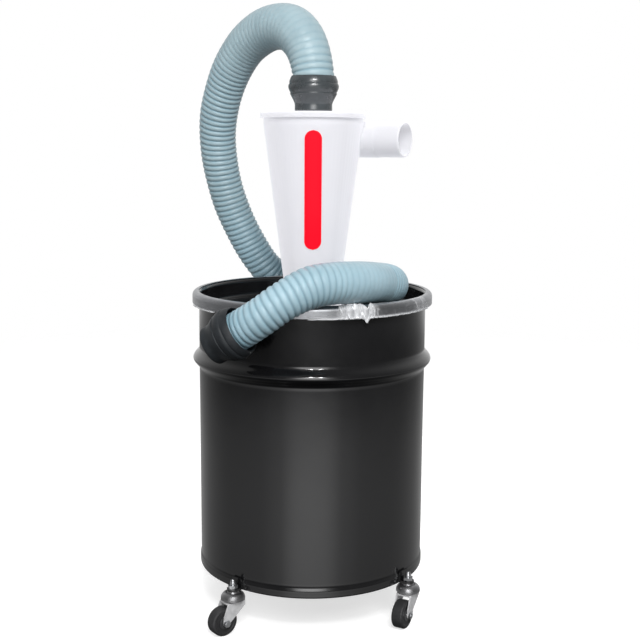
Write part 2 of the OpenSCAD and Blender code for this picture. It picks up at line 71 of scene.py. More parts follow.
def new_piece(name, verts, faces, material, body, stands_for=(), sharp=40):
    """A mesh piece with smooth faces, riding on a CAD body."""
    mesh = bpy.data.meshes.new(name)
    mesh.from_pydata([tuple(v) for v in verts], [], faces)
    mesh.update()
    mesh.shade_smooth()
    mesh.set_sharp_from_angle(angle=math.radians(sharp))
    piece = bpy.data.objects.new(name, mesh)
    bpy.context.scene.collection.objects.link(piece)
    mesh.materials.append(material)
    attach(piece, body)
    if stands_for:
        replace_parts(piece, *stands_for)
    return piece


def mark(piece, name, values):
    """Gives each vertex of a piece a number that its material reads by name."""
    marks = piece.data.attributes.new(name, "FLOAT", "POINT")
    marks.data.foreach_set("value", np.array(values, np.float32).ravel())


def lathe(profile, segments, place=Matrix.Identity(4)):
    """Vertices and faces of a closed outline [(radius, height)] turned about the Z axis of place."""
    verts, faces = [], []
    count = len(profile)
    for i in range(segments):
        turn = 2 * math.pi * i / segments
        for r, z in profile:
            verts.append(place @ Vector((r * math.cos(turn), r * math.sin(turn), z)))
    for i in range(segments):
        here, there = i * count, (i + 1) % segments * count
        for k in range(count):
            nxt = (k + 1) % count
            faces.append((here + k, there + k, there + nxt, here + nxt))
    return verts, faces


def bridge(first, second, around, flip=False):
    """Faces between two rings of vertices, given where each ring starts."""
    faces = []
    for k in range(around):
        after = (k + 1) % around
        face = (first + k, first + after, second + after, second + k)
        faces.append(face[::-1] if flip else face)
    return faces


def arc(cx, cz, r, start, end, steps):
    """Points of a circular arc in the (radius, height) plane, angles in degrees."""
    return [
        (cx + r * math.cos(math.radians(a)), cz + r * math.sin(math.radians(a)))
        for a in np.linspace(start, end, steps + 1)
    ]


def curve_through(points, steps):
    """A smooth outline through points, with steps places on each stretch."""
    pts = [np.array(p, float) for p in points]
    pts = [2 * pts[0] - pts[1]] + pts + [2 * pts[-1] - pts[-2]]
    line = []
    for a, b, c, d in zip(pts, pts[1:], pts[2:], pts[3:]):
        for t in np.linspace(0, 1, steps, endpoint=False):
            line.append(tuple(spline(a, b, c, d, t)))
    line.append(tuple(pts[-2]))
    return line


def spline(a, b, c, d, t):
    """The point at t, from 0 to 1, on the smooth stretch from b to c, with a before it and d after it."""
    return 0.5 * (
        2 * b + (c - a) * t + (2 * a - 5 * b + 4 * c - d) * t**2 + (3 * b - a - 3 * c + d) * t**3
    )


def rise(value, middle, width):
    """Rises softly from 0 to 1 as value passes middle."""
    return 1 / (1 + np.exp((middle - value) / width))


# ---------- material helpers ----------


class Finish:
    """A node material with short calls for the few nodes used here."""

    def __init__(self, name, colour, roughness, metallic=0.0):
        self.material = bpy.data.materials.new(name)
        self.material.use_nodes = True
        self.tree = self.material.node_tree
        self.shader = self.tree.nodes["Principled BSDF"]
        self.output = self.tree.nodes["Material Output"]
        self.place = self.tree.nodes.new("ShaderNodeTexCoord").outputs["Object"]
        self.set("Base Color", (*colour, 1))
        self.set("Roughness", roughness)
        self.set("Metallic", metallic)

    def set(self, socket, value):
        self.shader.inputs[socket].default_value = value

    def add(self, kind, **settings):
        node = self.tree.nodes.new(kind)
        for key, value in settings.items():
            setattr(node, key, value)
        return node

    def join(self, source, target):
        self.tree.links.new(source, target)

    def stretch(self, scale):
        """The object's coordinates, scaled along each axis."""
        mapping = self.add("ShaderNodeMapping")
        mapping.inputs["Scale"].default_value = scale
        self.join(self.place, mapping.inputs["Vector"])
        return mapping.outputs["Vector"]

    def noise(self, scale, detail=4, rough=0.55, vector=None):
        node = self.add("ShaderNodeTexNoise")
        node.inputs["Scale"].default_value = scale
        node.inputs["Detail"].default_value = detail
        node.inputs["Roughness"].default_value = rough
        self.join(vector or self.place, node.inputs["Vector"])
        return node.outputs["Fac"]

    def spread(self, source, low, high, at_low=0.3, at_high=0.7):
        """Maps source from [at_low, at_high] to [low, high]."""
        node = self.add("ShaderNodeMapRange")
        for key, value in (("From Min", at_low), ("From Max", at_high), ("To Min", low), ("To Max", high)):
            node.inputs[key].default_value = value
        self.join(source, node.inputs["Value"])
        return node.outputs["Result"]

    def mix(self, fac, first, second):
        """Mixes two colours, each a tuple or a socket."""
        node = self.add("ShaderNodeMix", data_type="RGBA")
        # of this node's sockets, 6 and 7 take the colours and 2 gives the mixed one
        self.join(fac, node.inputs[0])
        for socket, value in ((node.inputs[6], first), (node.inputs[7], second)):
            if isinstance(value, tuple):
                socket.default_value = (*value, 1)
            else:
                self.join(value, socket)
        return node.outputs[2]

    def mix_shaders(self, fac, first, second):
        """Mixes two shaders' outputs by fac, a number or a socket."""
        node = self.add("ShaderNodeMixShader")
        if isinstance(fac, float):
            node.inputs[0].default_value = fac
        else:
            self.join(fac, node.inputs[0])
        self.join(first, node.inputs[1])
        self.join(second, node.inputs[2])
        return node.outputs[0]

    def colour(self, source):
        self.join(source, self.shader.inputs["Base Color"])

    def rough(self, source):
        self.join(source, self.shader.inputs["Roughness"])

    def bump(self, height, strength, distance):
        """Adds a bump to the normal, on top of any bump added before."""
        node = self.add("ShaderNodeBump")
        node.inputs["Strength"].default_value = strength
        node.inputs["Distance"].default_value = distance
        self.join(height, node.inputs["Height"])
        normal = self.shader.inputs["Normal"]
        if normal.is_linked:
            self.join(normal.links[0].from_socket, node.inputs["Normal"])
        self.join(node.outputs["Normal"], normal)


# ---------- materials ----------


def enamel(name):
    """Gloss black stoving enamel on sheet steel: faint orange peel, hazy patches, a little dust."""
    f = Finish(name, (0.004, 0.004, 0.0045), 0.16)
    haze = f.noise(9, 5, 0.6)
    dust = f.noise(260, 6, 0.7)
    f.colour(f.mix(f.spread(haze, 0, 1), (0.0028, 0.0028, 0.0032), (0.006, 0.006, 0.0065)))
    f.rough(f.spread(haze, 0.13, 0.24))
    f.bump(f.noise(700, 2), 0.05, 0.2 * MM)
    f.bump(f.spread(dust, 0, 1, 0.62, 0.7), 0.04, 0.1 * MM)
    f.bump(f.noise(14, 2), 0.3, 0.8 * MM)
    f.set("Coat Weight", 0.5)
    f.set("Coat Roughness", 0.06)
    return f.material


def zinc(name, colour=(0.70, 0.71, 0.73), low=0.2, high=0.42, metallic=1.0):
    """Bright zinc plate with cloudy patches and fine rolling marks; less metallic where it has dulled."""
    f = Finish(name, colour, 0.3, metallic)
    cloud = f.noise(120, 5, 0.6)
    darker = tuple(c * 0.78 for c in colour)
    f.colour(f.mix(f.spread(cloud, 0, 1), darker, colour))
    f.rough(f.spread(cloud, high, low))
    f.bump(f.noise(1500, 2, 0.5, f.stretch((1, 1, 0.2))), 0.12, 0.1 * MM)
    return f.material


def band_steel(name):
    """Satin zinc-plated band: streaks that run along the rim."""
    f = Finish(name, (0.42, 0.43, 0.45), 0.3, 1.0)
    streak = f.noise(60, 6, 0.7, f.stretch((1, 1, 30)))
    f.colour(f.mix(f.spread(streak, 0, 1), (0.33, 0.34, 0.36), (0.52, 0.53, 0.55)))
    f.rough(f.spread(streak, 0.36, 0.24))
    f.bump(streak, 0.1, 0.2 * MM)
    return f.material


def frosted(name):
    """Frosted white polypropylene: light passes through and blurs in it; a painted glow, stronger at its
    edges, and painted shade in the inlet's bore.
    """
    skin, shade = (0.48, 0.48, 0.495), (0.38, 0.38, 0.39)
    f = Finish(name, skin, 0.38)
    f.set("Specular IOR Level", 0.25)
    # painted glow: the plastic gives off light of its own
    f.set("Emission Color", (0.9, 0.9, 0.93, 1))
    # painted shade: the inlet's bore, marked inside, takes the darker colour
    inside = f.add("ShaderNodeAttribute", attribute_name="inside").outputs["Fac"]
    f.colour(f.mix(inside, skin, shade))
    # the painted glow is stronger where the surface turns away from view
    edge = f.add("ShaderNodeLayerWeight").outputs["Facing"]
    f.join(f.spread(edge, 0.27, 0.78, 0.25, 1), f.shader.inputs["Emission Strength"])
    f.set("Subsurface Weight", 0.35)
    f.set("Subsurface Radius", (0.02, 0.02, 0.022))
    f.set("Subsurface Scale", 0.3)
    f.bump(f.noise(900, 3), 0.06, 0.1 * MM)
    f.rough(f.spread(f.noise(25, 3), 0.32, 0.44))
    through = f.add("ShaderNodeBsdfTranslucent")
    through.inputs["Color"].default_value = (0.86, 0.86, 0.9, 1)
    clear = f.add("ShaderNodeBsdfTransparent")
    glow = f.mix_shaders(0.3, f.shader.outputs[0], through.outputs[0])
    f.join(f.mix_shaders(0.1, glow, clear.outputs[0]), f.output.inputs["Surface"])
    return f.material


def film(name):
    """Thin crumpled polythene: glossy, greyish where it folds, half clear where it is flat."""
    f = Finish(name, (0.78, 0.79, 0.81), 0.18)
    f.set("Specular IOR Level", 0.7)
    f.bump(f.noise(160, 4, 0.6), 0.35, 1.2 * MM)
    clear = f.add("ShaderNodeBsdfTransparent")
    cloud = f.spread(f.add("ShaderNodeAttribute", attribute_name="cloud").outputs["Fac"], 0, 1, 0, 1)
    surface = f.mix_shaders(cloud, clear.outputs[0], f.shader.outputs[0])
    f.join(surface, f.output.inputs["Surface"])
    return f.material


def hose_plastic(name):
    """Blue-grey flexible plastic: satin ridges, mottled; darker grooves and a greyer, darker colour where
    it hangs high above the rim, both painted shade.
    """
    f = Finish(name, (0.40, 0.56, 0.63), 0.36)
    # the groove attribute is painted shade: in the grooves, near the free cuff and all over the bore
    groove = f.add("ShaderNodeAttribute", attribute_name="groove").outputs["Fac"]
    mottle = f.noise(22, 4, 0.6)
    # painted shade: the hose hanging 40 to 120 mm and more above the rim takes a darker, greyer copy of
    # the colour
    lying_lit = f.mix(f.spread(mottle, 0, 1), (0.225, 0.33, 0.38), (0.275, 0.39, 0.445))
    raised_shaded = f.mix(f.spread(mottle, 0, 1), (0.215, 0.29, 0.32), (0.26, 0.345, 0.375))
    height = f.add("ShaderNodeSeparateXYZ")
    f.join(f.place, height.inputs[0])
    hanging = f.spread(height.outputs["Z"], 0, 1, rim_z + 40 * MM, rim_z + 120 * MM)
    ridge = f.mix(hanging, lying_lit, raised_shaded)
    # painted shade colour, for the grooves, the end near the free cuff and the bore
    f.colour(f.mix(groove, ridge, (0.15, 0.24, 0.285)))
    f.rough(f.spread(mottle, 0.3, 0.44))
    f.bump(f.noise(420, 3), 0.12, 0.15 * MM)
    f.set("Subsurface Weight", 0.12)
    f.set("Subsurface Radius", (0.006, 0.009, 0.01))
    f.set("Subsurface Scale", 0.4)
    return f.material


def rubber(name, colour, low=0.42, high=0.62, grain=900, sheen=0.5):
    """Moulded rubber or nylon with a fine grain and worn patches."""
    f = Finish(name, colour, 0.5)
    f.set("Specular IOR Level", sheen)
    rub = f.noise(45, 5, 0.6)
    lighter = tuple(c * 1.5 + 0.004 for c in colour)
    f.colour(f.mix(f.spread(rub, 0, 1, 0.45, 0.75), colour, lighter))
    f.rough(f.spread(rub, high, low))
    f.bump(f.noise(grain, 3), 0.18, 0.15 * MM)
    return f.material


def red_vinyl(name):
    """Plain printed vinyl, satin, with faint unevenness."""
    f = Finish(name, (0.82, 0.0, 0.012), 0.5)
    f.set("Specular IOR Level", 0.2)
    f.rough(f.spread(f.noise(60, 3), 0.48, 0.54))
    return f.material


def paint_cad(material, *names):
    """Gives CAD nodes their finish."""
    for name in names:
        slots = nodes[name].data.materials
        slots.clear()
        slots.append(material)


# ---------- hose and cuffs ----------

# where the hose passes, mm: [right, back, height above the rim, outside radius]
HOSE_STOPS = [
    [0, 0, 286, 29], [-0.3, 0.3, 305, 29.2], [-6, 6, 334, 30.6], [-17, 18, 358, 32.4],
    [-34, 37, 374, 33.2], [-57, 60, 377.5, 32.6], [-81, 84, 369.5, 31.8], [-107, 109, 348, 31],
    [-132, 135, 307, 30], [-149, 160, 250, 29], [-150, 179, 191, 28.2], [-137, 194, 125, 27.6],
    [-112, 204, 64, 27], [-81, 212, 13, 26.8], [-56, 221, -8, 27], [-30, 222, -10, 27],
    [-14, 212, 1, 27], [-8, 190, 21, 27.4], [-4, 163, 32, 28], [8, 130, 22, 28],
    [36, 94, 5, 28], [76, 56, 1.4, 28], [106, 4, 4.5, 27.6], [108, -48, 14, 27.6],
    [84, -104, 23, 28], [54, -146, 28, 28], [26, -169, 29.5, 28], [-4, -187, 26, 27.6],
    [-38, -200, 9.5, 26.8], [-66, -199.5, -10.5, 26.6],
]
FREE_CUFF_FACE = Vector((-91.5, -188.2, -28.5)) * MM + Vector((0, 0, rim_z))
FREE_CUFF_TURN = math.radians(158)
FREE_CUFF_DIP = math.radians(30)
FREE_CUFF_DIR = Vector((
    math.cos(FREE_CUFF_DIP) * math.cos(FREE_CUFF_TURN),
    math.cos(FREE_CUFF_DIP) * math.sin(FREE_CUFF_TURN),
    -math.sin(FREE_CUFF_DIP),
))
CUFF_LEN = cuff_hi.z - cuff_lo.z

HOSE_GRIP = 17 * MM  # how far the hose reaches into the cuff
HOSE_END_R = 27.4 * MM
HOSE_WALL = 2.4 * MM
HOSE_AROUND = 56  # vertices round the hose
HOSE_STEP = 0.8 * MM
BORE_EVERY = 8  # the smooth bore has one ring for this many of the skin's
RIB_PITCH = 8.4 * MM
RIB_DEPTH = 1.0 * MM
GROOVE_HALF = 0.17  # of the pitch
LAST_STRETCH, NARROWER = 90 * MM, 1.5 * MM  # the free end is this much narrower in radius


def hose_line():
    """Stations [x, y, z, outside radius] along the hose, and how far along it each one is."""
    knots = [[x * MM, y * MM, rim_z + z * MM, r * MM] for x, y, z, r in HOSE_STOPS]
    for along in (0, HOSE_GRIP):
        knots.append([*(FREE_CUFF_FACE + along * FREE_CUFF_DIR), HOSE_END_R])
    k = np.array(knots)
    k = np.vstack([2 * k[0] - k[1], k, 2 * k[-1] - k[-2]])
    t = np.linspace(0, 1, 40, endpoint=False)[:, None]
    spans = []
    for a, b, c, d in zip(k, k[1:], k[2:], k[3:]):
        spans.append(spline(a, b, c, d, t))
    dense = np.vstack(spans + [k[-2]])
    run = np.concatenate([[0], np.cumsum(np.linalg.norm(np.diff(dense[:, :3], axis=0), axis=1))])
    stations = np.linspace(0, run[-1], int(run[-1] / HOSE_STEP) + 1)
    line = np.stack([np.interp(stations, run, dense[:, c]) for c in range(4)], axis=1)
    line[:, 3] -= NARROWER * rise(stations, run[-1] - LAST_STRETCH, 12 * MM)
    return line, stations


def carried_sides(points):
    """Headings along a line, and a side direction carried along it so that it never twists."""
    ahead = np.gradient(points, axis=0)
    ahead /= np.linalg.norm(ahead, axis=1)[:, None]
    side = np.zeros_like(ahead)
    last = np.array([1.0, 0, 0])
    for i, a in enumerate(ahead):
        last = last - last.dot(a) * a
        last /= np.linalg.norm(last)
        side[i] = last
    return ahead, side


def rib_depth(points):
    """Depth of the ribs: the arch's top is pulled smooth, and so is the run over the right of the rim."""
    arch = rise(points[:, 2] - rim_z, 325 * MM, 10 * MM)
    lying = (points[:, 1] < -90 * MM) * rise(points[:, 0], 20 * MM, 12 * MM)
    return RIB_DEPTH * (1 - 0.85 * np.maximum(0.95 * arch, lying))


def hose_skin(line, stations):
    """The way out from the hose's middle at each vertex, the ribbed skin, and the painted shade there:
    darker in the grooves and where the hose runs into the free cuff.
    """
    points, radius = line[:, :3], line[:, 3]
    ahead, side = carried_sides(points)
    over = np.cross(ahead, side)
    turn = 2 * np.pi * np.arange(HOSE_AROUND) / HOSE_AROUND
    out = np.cos(turn)[None, :, None] * side[:, None, :] + np.sin(turn)[None, :, None] * over[:, None, :]
    # ribs crowd and deepen on the inside of a bend
    bend = np.gradient(ahead, stations, axis=0)
    squeeze = np.clip((out * bend[:, None, :]).sum(axis=2) * radius[:, None], -0.45, 0.9)
    phase = (stations[:, None] / RIB_PITCH + turn[None, :] / (2 * np.pi)) % 1
    groove = np.exp(-(((phase - 0.5) / GROOVE_HALF) ** 2))
    dome = 0.25 * np.cos(2 * np.pi * phase)
    depth = rib_depth(points)[:, None]
    wobble = 0.3 * MM * np.sin(stations / 0.041) * np.sin(stations / 0.0173 + 1)
    r = (radius + wobble)[:, None] - depth * (1 + 0.5 * squeeze) * (groove - dome)
    skin = points[:, None, :] + r[:, :, None] * out
    # painted shade where the hose runs into the free cuff's collar
    to_cuff = np.clip(stations[-1] - HOSE_GRIP - stations, 0, None)
    shade = np.exp(-to_cuff / (7 * MM))[:, None]
    return out, skin, np.clip(groove * depth / RIB_DEPTH + 1.3 * shade, 0, 1.6)


def hose():
    """Helically ribbed hose: wide ridges and narrow grooves, deeper where it hangs and at its end."""
    line, stations = hose_line()
    out, skin, painted_shade = hose_skin(line, stations)
    last = len(line) - 1
    rows = list(range(0, last, BORE_EVERY)) + [last]
    bore = line[rows][:, None, :3] + (line[rows, 3] - HOSE_WALL)[:, None, None] * out[rows]
    verts = np.concatenate([skin.reshape(-1, 3), bore.reshape(-1, 3)])
    rings = range(0, len(line) * HOSE_AROUND, HOSE_AROUND)
    bore_rings = range(len(line) * HOSE_AROUND, len(verts), HOSE_AROUND)
    faces = []
    for first, second in zip(rings, rings[1:]):
        faces += bridge(first, second, HOSE_AROUND)
    for first, second in zip(bore_rings, bore_rings[1:]):
        faces += bridge(first, second, HOSE_AROUND, flip=True)
    faces += bridge(rings[0], bore_rings[0], HOSE_AROUND, flip=True)
    faces += bridge(rings[-1], bore_rings[-1], HOSE_AROUND)
    piece = new_piece("hose_ribbed", verts, faces, hose_plastic("hose_plastic"), "lid_unit",
                      ["hose"], sharp=80)
    # the groove attribute carries painted shade: in the grooves, near the free cuff, and all over the bore
    mark(piece, "groove", np.concatenate([painted_shade.ravel(), np.ones(bore.size // 3)]))


def cuff(name, place, body, stands_for, material):
    """Rubber hose cuff: straight mouth, step, flared collar and a rolled lip round the hose.

    Its outline is in mm, from the mouth's face."""
    bore, socket = 23.65, 30.4
    skin = curve_through([
        (bore, 1), (bore + 0.8, 0), (25.9, 0), (26.7, 0.9), (26.7, 5), (26.8, 9.5), (28, 13), (29.8, 16.7),
        (31.8, 20.4), (33.3, 23.4), (33.5, 24.5), (33.1, 25.4), (33.6, 26.6), (35, 29.4), (35.9, 32.4),
        (36, 34.6), (35.5, 36.6), (34.7, 37.9), (34.4, 38.7), (34.6, 39.6), (34.4, 41.6), (33.5, 44.4),
        (32.4, 47), (31.4, 48.8), (socket, 48.2),
    ], 4)
    outline = skin + [(socket, 29), (bore + 0.6, 26.5), (bore, 25.5)]
    verts, faces = lathe([(r * MM, z * MM) for r, z in outline], 128, place)
    return new_piece(name, verts, faces, material, body, [stands_for], sharp=50)


def cuffs():
    """The upper cuff, glossy and coloured lighter as painted light, and the free one coloured darker and
    duller as painted shade.
    """
    # painted light and shade: one rubber in two copies, the upper cuff's coloured lighter and the free
    # cuff's darker
    lit_cuff_rubber = rubber("cuff_rubber", (0.03, 0.035, 0.038), 0.2, 0.3, 700, 1.0)
    shaded_cuff_rubber = rubber("cuff_rubber_shaded", (0.012, 0.014, 0.016), 0.4, 0.55, 700, 0.3)
    upper = Matrix.Translation((0, 0, cuff_lo.z))
    free = (Matrix.Translation(FREE_CUFF_FACE + CUFF_LEN * FREE_CUFF_DIR)
            @ (-FREE_CUFF_DIR).to_track_quat("Z", "X").to_matrix().to_4x4())
    cuff("cuff_on_spout", upper, "upper_cuff", "upper_cuff", lit_cuff_rubber)
    cuff("cuff_on_free_end", free, "free_cuff", "free_cuff", shaded_cuff_rubber)


# ---------- drum ----------

SHEET = 1.2 * MM
HOOP_OUT = 9 * MM
HOOP_HALF = 15 * MM
HOOP_Z = rim_z - 98 * MM
CURL_TUBE = 3.6 * MM
CURL_R = drum_r + 2.4 * MM
CURL_Z = rim_z - 9.75 * MM


def drum_outline():
    """Sheet outline: seamed chime, wall, rolling hoop, wall, and the curl at the rim."""
    chime = curve_through([
        (drum_r - 2.6 * MM, chime_foot + 1.4 * MM), (drum_r - 2 * MM, chime_foot + 0.3 * MM),
        (drum_r - 0.6 * MM, chime_foot), (drum_r + 0.8 * MM, chime_foot + 0.3 * MM),
        (drum_r + 1.4 * MM, chime_foot + 1.4 * MM), (drum_r + 1.4 * MM, -3 * MM),
        (drum_r + 1.3 * MM, 2.5 * MM), (drum_r + 0.6 * MM, 4.6 * MM), (drum_r, 6.5 * MM),
    ], 4)
    lower = [(drum_r, z) for z in np.linspace(12 * MM, HOOP_Z - HOOP_HALF - 4 * MM, 14)]
    hoop = [
        (drum_r + HOOP_OUT * (1 + math.cos(math.pi * d)) / 2, HOOP_Z + HOOP_HALF * d)
        for d in np.linspace(-1, 1, 33)
    ]
    upper = [(drum_r, z) for z in np.linspace(HOOP_Z + HOOP_HALF + 4 * MM, CURL_Z - 8 * MM, 5)]
    curl = arc(CURL_R, CURL_Z, CURL_TUBE, 228, 540, 28)
    wall = [(r, z) for r, z in lower + hoop + upper]
    inside = [(r - SHEET, z) for r, z in reversed(wall)]
    foot = [(drum_r - SHEET, 6 * MM), (drum_r - 2.6 * MM, 4 * MM)]
    return chime + wall + curl + inside + foot


def drum():
    """The drum, with a welded side seam at the back and the slight unevenness of rolled sheet."""
    seam = math.radians(97)
    half_seam, bead = 2.2 * MM, 0.35 * MM
    waves, wave_height = 2.2, 0.22 * MM
    verts, faces = lathe(drum_outline(), 256)
    for v in verts:
        turn = math.atan2(v.y, v.x)
        out = Vector((v.x, v.y, 0)).normalized()
        uneven = noise.noise(Vector((waves * math.cos(turn), waves * math.sin(turn), v.z * 9)))
        off_seam = (turn - seam) * drum_r / half_seam
        v += out * (wave_height * uneven + bead * math.exp(-(off_seam**2)))
    new_piece("drum_wall", verts, faces, enamel("drum_enamel"), "drum", ["drum_shell"],
              sharp=50)


# ---------- cyclone ----------

CONE_FOOT_R = 37 * MM
CONE_TOP_R = cap_top.x - 4.9 * MM
CONE_FOOT_Z = cone_foot.z
CONE_TOP_Z = cap_top.z - 44 * MM
STUB_R = 25 * MM
STUB_Z = rim_z + 216 * MM
STUB_OFF_AXIS = 47 * MM  # from the cone's axis to the stub's, as dust enters along the wall
STUB_TURN = math.radians(30)
MOULDED_WALL = 1.6 * MM


def cone_r(z):
    """The cone's outside radius at a height."""
    return CONE_FOOT_R + (CONE_TOP_R - CONE_FOOT_R) * (z - CONE_FOOT_Z) / (CONE_TOP_Z - CONE_FOOT_Z)


def stripe():
    """A plain red stripe with rounded ends, lying on the front of the cone."""
    half = (label_hi.x - label_lo.x) / 2
    lift, thick, least_reach = 0.5 * MM, 0.3 * MM, 0.3 * MM
    rows, columns = 120, 24
    verts, faces = [], []
    for lay in (lift + thick, lift):
        for i in range(rows + 1):
            z = label_lo.z + (label_hi.z - label_lo.z) * i / rows
            end = min(z - label_lo.z, label_hi.z - z)
            reach = half if end > half else math.sqrt(max(half**2 - (half - end) ** 2, least_reach**2))
            for k in range(columns + 1):
                x = reach * (2 * k / columns - 1)
                r = cone_r(z) + lay
                verts.append((x, -math.sqrt(r * r - x * x), z))
    width = columns + 1
    back = (rows + 1) * width
    for i in range(rows):
        for k in range(columns):
            a = i * width + k
            faces.append((a, a + 1, a + width + 1, a + width))
            faces.append((back + a, back + a + width, back + a + width + 1, back + a + 1))
        for a, b in ((i * width, (i + 1) * width), ((i + 1) * width + columns, i * width + columns)):
            faces.append((a, b, back + b, back + a))
    for k in range(columns):
        top = rows * width + k
        faces.append((k + 1, k, back + k, back + k + 1))
        faces.append((top, top + 1, back + top + 1, back + top))
    new_piece("red_stripe", verts, faces, red_vinyl("label_red"), "lid_unit", ["label"])


def cyclone(material):
    """The moulded cone and inlet in one skin, with the soft fillets of a moulding."""
    source = nodes["cyclone_body"]
    piece = bpy.data.objects.new("cyclone_moulding", source.data.copy())
    bpy.context.scene.collection.objects.link(piece)
    remesh = piece.modifiers.new("skin", "REMESH")
    remesh.mode = "VOXEL"
    remesh.voxel_size = 1 * MM
    bake(piece)
    soften(piece)
    mark_inside(piece)
    piece.data.materials.clear()
    piece.data.materials.append(material)
    piece.data.shade_smooth()
    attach(piece, "lid_unit")
    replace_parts(piece, "cyclone_body")


def bake(piece):
    """Applies the piece's modifiers to its mesh."""
    depsgraph = bpy.context.evaluated_depsgraph_get()
    mesh = bpy.data.meshes.new_from_object(piece.evaluated_get(depsgraph))
    piece.modifiers.clear()
    piece.data = mesh


def on_stub(point):
    """How far a point is along the inlet stub, and how far from its axis."""
    ahead = Vector((math.cos(STUB_TURN), -math.sin(STUB_TURN), 0))
    root = STUB_OFF_AXIS * Vector((math.sin(STUB_TURN), math.cos(STUB_TURN), 0)) + Vector((0, 0, STUB_Z))
    off = point - root
    along = off.dot(ahead)
    return along, (off - along * ahead).length


def mark_inside(piece):
    """Marks the bore of the stub and the wall it opens through, where little light gets in."""
    clear_of_cone = 40 * MM
    inside = []
    for v in piece.data.vertices:
        along, off_axis = on_stub(v.co)
        in_bore = off_axis < STUB_R - MOULDED_WALL
        in_cone = math.hypot(v.co.x, v.co.y) < cone_r(v.co.z) - 1.5 * MM
        inside.append(in_bore and (along > clear_of_cone or in_cone))
    mark(piece, "inside", inside)


def soften(piece):
    """Smooths all of the skin a little, and the joint between cone and stub a lot."""
    reach = 11 * MM
    joint = piece.vertex_groups.new(name="joint")
    for v in piece.data.vertices:
        along, off_axis = on_stub(v.co)
        from_stub = abs(off_axis - STUB_R)
        from_cone = abs(math.hypot(v.co.x, v.co.y) - cone_r(v.co.z))
        weight = 1 - max(from_stub, from_cone) / reach
        if weight > 0 and along > 0:
            joint.add([v.index], min(1, 1.6 * weight), "REPLACE")
    for name, count, group in (("skin", 4, ""), ("fillet", 40, "joint")):
        smooth = piece.modifiers.new(name, "SMOOTH")
        smooth.factor = 0.5
        smooth.iterations = count
        smooth.vertex_group = group
    bake(piece)


# ---------- liner film ----------

FILM = 0.25 * MM


def ridges(u, v, seed):
    """Height of sharp folds over a sheet, from 0 to about 1."""
    height, weight, total = 0.0, 1.0, 0.0
    for octave in range(3):
        scale = 1.9**octave
        n = noise.noise(Vector((u * scale, v * scale, seed + 7.3 * octave)))
        height += weight * (1 - abs(2.2 * n)) ** 2
        total += weight
        weight *= 0.5
    return height / total


def sheet_piece(name, grid, material, closed, cloud):
    """A thin solid sheet from a grid of points, closed round the drum or open at both sides.

    cloud holds how milky the film is at each point, from 0 to 1."""
    columns, rows = len(grid), len(grid[0])
    verts = [p for column in grid for p in column]
    faces = []
    for i in range(columns if closed else columns - 1):
        a, b = i * rows, (i + 1) % columns * rows
        for k in range(rows - 1):
            faces.append((a + k, b + k, b + k + 1, a + k + 1))
    piece = new_piece(name, verts, faces, material, "drum", sharp=180)
    mark(piece, "cloud", cloud)
    thick = piece.modifiers.new("thickness", "SOLIDIFY")
    thick.thickness = FILM
    thick.offset = 0
    return piece


def liner(material):
    """The bag inside the drum: pleated down the wall, then folded over the rim's curl."""
    bag_r = drum_r - SHEET - 1.6 * MM
    foot = base_top.z + 1.2 * MM
    neck = rim_z - 32 * MM
    over_curl = CURL_TUBE + 0.3 * MM
    pleat, smooth_out = 4 * MM, 40 * MM
    columns = 360
    grid = []
    for i in range(columns):
        turn = 2 * math.pi * i / columns
        x, y = math.cos(turn), math.sin(turn)
        path = [
            (r * bag_r, foot + 1.5 * MM * noise.noise(Vector((x, y, 0)) * r * 8))
            for r in (0.02, 0.3, 0.6, 0.9)
        ]
        for z in np.linspace(foot + 6 * MM, neck, 40):
            fold = pleat * ridges(9 * x, 9 * y + z * 3, 2.0)
            path.append((bag_r - fold * min(1, (neck - z) / smooth_out), z))
        path.append((drum_r - SHEET - 0.35 * MM, neck + 12 * MM))
        path += arc(CURL_R, CURL_Z, over_curl, 180, 10 - 14 * ridges(20 * x, 20 * y, 5.0), 8)
        grid.append([(r * x, r * y, z) for r, z in path])
    cloud = np.full((columns, len(grid[0])), 0.4)
    return sheet_piece("liner_film", grid, material, True, cloud)


def on_band(height, off):
    """Where film lies, off the band's skin: up its side from its foot, then round its bead."""
    side = bead_z - band_lo.z
    if height < side:
        return band_r + off, band_lo.z + height
    angle, tube = (height - side) / bead_tube, bead_tube + off
    return bead_r + tube * math.cos(angle), bead_z + tube * math.sin(angle)


def flap(name, from_deg, to_deg, cover, drop, crumple, material):
    """Spare film that comes out under the band: cover(deg) is how far it turns up over the band's side,
    drop(deg) how far it hangs below the band's foot, crumple(deg) how milky its folds make it."""
    foot = band_lo.z
    hem_width, gap, tucked_milky = 2 * MM, 0.4 * MM, 0.6
    grid, cloud = [], []
    for deg in np.arange(from_deg, to_deg, 0.25):
        turn = math.radians(deg)
        hang, reach, creased = drop(deg), cover(deg), crumple(deg)
        path = [
            (band_r - 3.1 * MM, foot + 4 * MM), (band_r - 3 * MM, foot - 1 * MM),
            (band_r - 1.2 * MM, foot - 0.75 * hang), (band_r + 0.3 * MM, foot - hang),
        ]
        milky = [tucked_milky] * len(path)
        for along in np.linspace(0.04, 1, 26) * reach:
            fold = ridges(deg * 0.42 + along * 30, along * 40, 3.0) * min(1, along / hem_width)
            path.append(on_band(along - hang, gap + (0.8 + 2.2 * creased) * MM * fold))
            lines = max(0, 2.6 * fold - 1.5)
            hem = 0.7 * math.exp(-((along / hem_width) ** 2)) + 0.1 * (along > 0.93 * reach)
            milky.append(min(0.95, hem + (0.1 + 1.1 * creased) * lines + 0.32 * creased))
        grid.append([(r * math.cos(turn), r * math.sin(turn), z) for r, z in path])
        cloud.append(milky)
    return sheet_piece(name, grid, material, False, cloud)


